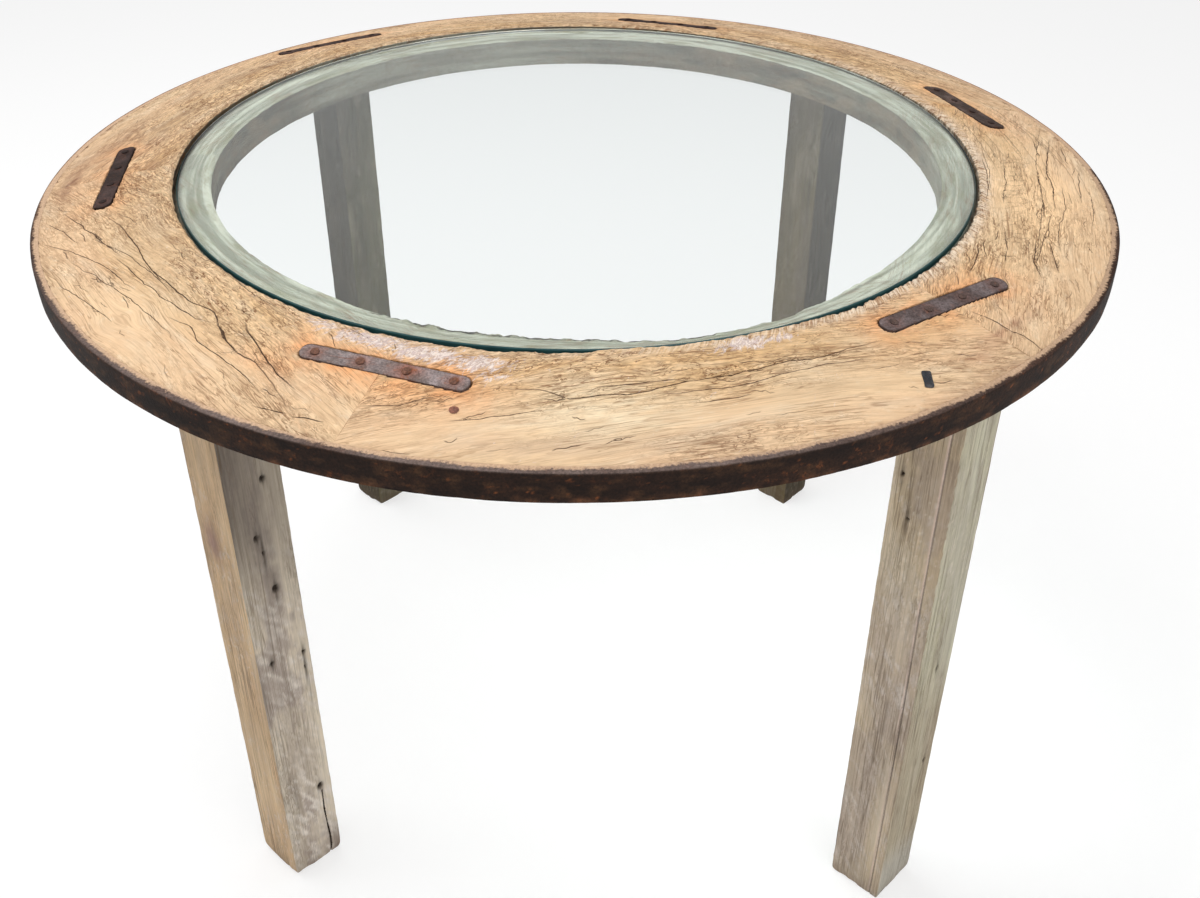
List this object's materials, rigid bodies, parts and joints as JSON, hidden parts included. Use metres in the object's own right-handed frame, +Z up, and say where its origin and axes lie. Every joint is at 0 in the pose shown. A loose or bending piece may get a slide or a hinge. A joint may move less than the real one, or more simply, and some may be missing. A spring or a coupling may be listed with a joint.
{
  "type": "wagon wheel table",
  "caption": "Round dining table made from an old wooden cart wheel in its iron tyre, with a glass pane let into the middle and square timber legs.",
  "frame": {"origin": "on the floor under the middle of the wheel", "axes": "+Z up along the wheel's axis, -Y towards the picture's front, +X to its right"},
  "size_m": [1.1698, 1.17, 0.7764],
  "materials": {
    "rim_wood": "weathered, cracked, waxed",
    "leg_timber": "reclaimed, grey, unfinished",
    "dowel_wood": "plain",
    "tyre_iron": "rusted dark",
    "cleat_iron": "worn and rusted",
    "nail_iron": "rusted",
    "spike_iron": "dark, hammered",
    "clear_glass": "clear, polished"
  },
  "bodies": {
    "table": {"felloe_1": "rim_wood", "felloe_2": "rim_wood", "felloe_3": "rim_wood", "felloe_4": "rim_wood", "felloe_5": "rim_wood", "felloe_6": "rim_wood", "iron_tyre": "tyre_iron", "cleat_1": "cleat_iron", "cleat_2": "cleat_iron", "cleat_3": "cleat_iron", "cleat_4": "cleat_iron", "cleat_5": "cleat_iron", "cleat_6": "cleat_iron", "cleat_nails_1": "nail_iron", "cleat_nails_2": "nail_iron", "cleat_nails_3": "nail_iron", "cleat_nails_4": "nail_iron", "cleat_nails_5": "nail_iron", "cleat_nails_6": "nail_iron", "felloe_dowel_1": "dowel_wood", "felloe_dowel_2": "dowel_wood", "felloe_dowel_3": "dowel_wood", "felloe_dowel_4": "dowel_wood", "felloe_dowel_5": "dowel_wood", "felloe_dowel_6": "dowel_wood", "rim_nail": "nail_iron", "forged_spike": "spike_iron", "leg_front_left": "leg_timber", "leg_front_right": "leg_timber", "leg_back_left": "leg_timber", "leg_back_right": "leg_timber"},
    "pane": {"glass_top": "clear_glass"}
  },
  "joints": [
    {"name": "glass_lift", "type": "slide", "parent": "table", "child": "pane", "axis": [0, 0, 1], "range_m": [0, 0.1]}
  ]
}
